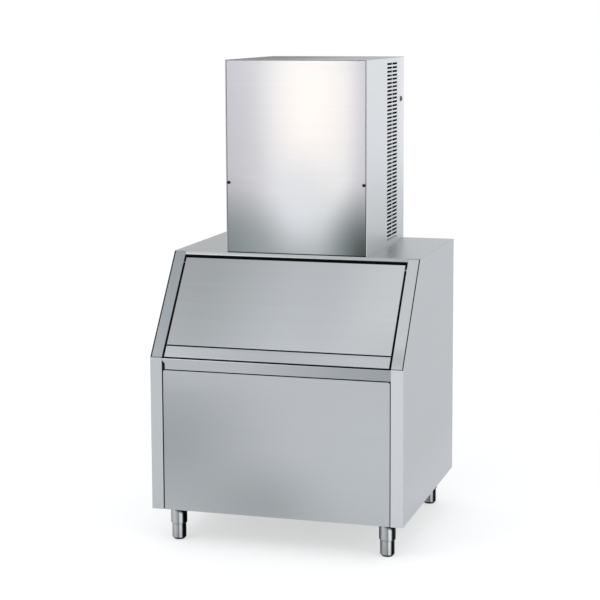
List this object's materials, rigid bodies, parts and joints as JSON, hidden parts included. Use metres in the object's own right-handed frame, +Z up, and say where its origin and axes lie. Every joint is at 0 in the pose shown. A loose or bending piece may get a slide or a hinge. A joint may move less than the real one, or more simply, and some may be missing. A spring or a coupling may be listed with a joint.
{
  "type": "cube ice machine",
  "caption": "Upright ice making head with side vents on a wider insulated storage bin with a slanted lift-up lid and chromed legs.",
  "frame": {"origin": "on the floor, at the middle of the whole footprint, the pipe ends behind the rear panel included", "axes": "+Z up, the front faces -Y, +X to the right seen from the front"},
  "size_m": [0.942, 0.898, 1.76],
  "materials": {
    "stainless_panel": "fine brushed",
    "galvanised_sheet": "matt zinc",
    "bright_chrome": "polished",
    "black_plastic": "satin",
    "white_plastic": "satin",
    "curtain_plastic": "clear milky",
    "foam": "closed-cell, charcoal",
    "rubber": "matt",
    "steel_pin": "turned",
    "black_screw": "blackened",
    "black_switch": "gloss",
    "tinned_plate": "tin plated",
    "copper": "drawn copper",
    "brass": "machined",
    "black_enamel": "gloss enamel",
    "aluminium": "mill"
  },
  "bodies": {
    "machine": {"bin_base_pan": "galvanised_sheet", "bin_drain": "white_plastic", "bin_front_panel": "stainless_panel", "bin_insulation": "foam", "bin_left_side": "stainless_panel", "bin_liner": "white_plastic", "bin_rear_panel": "galvanised_sheet", "bin_right_side": "stainless_panel", "bin_top_panel": "stainless_panel", "bulkhead": "galvanised_sheet", "cable_gland": "black_plastic", "compressor": "black_enamel", "compressor_grommets": "rubber", "condenser": "aluminium", "control_box": "galvanised_sheet", "door_frame": "black_plastic", "dump_valve": "brass", "evaporator_coil": "copper", "evaporator_frame": "white_plastic", "evaporator_plate": "tinned_plate", "fan_bracket": "galvanised_sheet", "fan_motor": "black_enamel", "fan_shroud": "galvanised_sheet", "filter_drier": "copper", "front_screws": "black_screw", "head_base": "galvanised_sheet", "head_front_panel": "stainless_panel", "head_left_side": "stainless_panel", "head_rear_panel": "galvanised_sheet", "head_right_side": "stainless_panel", "head_top_panel": "stainless_panel", "hot_gas_valve": "brass", "inlet_valve": "brass", "left_slant_post": "stainless_panel", "leg_sleeves": "bright_chrome", "level_probe": "steel_pin", "lid_pins": "steel_pin", "pump_casing": "black_plastic", "pump_motor": "black_enamel", "refrigerant_lines": "copper", "right_slant_post": "stainless_panel", "sill_rail": "stainless_panel", "switch_body": "black_switch", "water_distributor": "white_plastic", "water_hoses": "curtain_plastic", "water_trough": "white_plastic"},
    "lid": {"lid_skin": "stainless_panel", "lid_rail": "stainless_panel", "lid_liner": "white_plastic", "lid_hinge_blocks": "black_plastic", "lid_core": "foam", "lid_gasket": "rubber"},
    "fan": {"fan_blade": "aluminium"},
    "pump_rotor": {"pump_impeller": "black_plastic"},
    "curtain": {"water_curtain": "curtain_plastic"},
    "switch_rocker": {"rocker": "black_switch"},
    "foot_front_left_body": {"foot_front_left": "bright_chrome"},
    "foot_front_right_body": {"foot_front_right": "bright_chrome"},
    "foot_rear_left_body": {"foot_rear_left": "bright_chrome"},
    "foot_rear_right_body": {"foot_rear_right": "bright_chrome"}
  },
  "joints": [
    {"name": "lid_hinge", "type": "hinge", "parent": "machine", "child": "lid", "pos_m": [0, -0.19328, 1.00609], "axis": [-1, 0, 0], "range_deg": [0, 100]},
    {"name": "fan_spin", "type": "hinge", "parent": "machine", "child": "fan", "pos_m": [0.1464, 0.329, 1.404], "axis": [0, 1, 0], "continuous": true},
    {"name": "pump_spin", "type": "hinge", "parent": "machine", "child": "pump_rotor", "pos_m": [-0.205, 0.201, 1.1], "axis": [0, 0, 1], "continuous": true},
    {"name": "curtain_swing", "type": "hinge", "parent": "machine", "child": "curtain", "pos_m": [-0.1217, 0.026, 1.5956], "axis": [-1, 0, 0], "range_deg": [0, 20]},
    {"name": "rocker_tilt", "type": "hinge", "parent": "machine", "child": "switch_rocker", "pos_m": [0.2706, 0.367, 1.598], "axis": [0, 0, 1], "range_deg": [0, 20]},
    {"name": "foot_front_left_level", "type": "slide", "parent": "machine", "child": "foot_front_left_body", "axis": [0, 0, -1], "range_m": [0, 0.03]},
    {"name": "foot_front_right_level", "type": "slide", "parent": "machine", "child": "foot_front_right_body", "axis": [0, 0, -1], "range_m": [0, 0.03]},
    {"name": "foot_rear_left_level", "type": "slide", "parent": "machine", "child": "foot_rear_left_body", "axis": [0, 0, -1], "range_m": [0, 0.03]},
    {"name": "foot_rear_right_level", "type": "slide", "parent": "machine", "child": "foot_rear_right_body", "axis": [0, 0, -1], "range_m": [0, 0.03]}
  ]
}
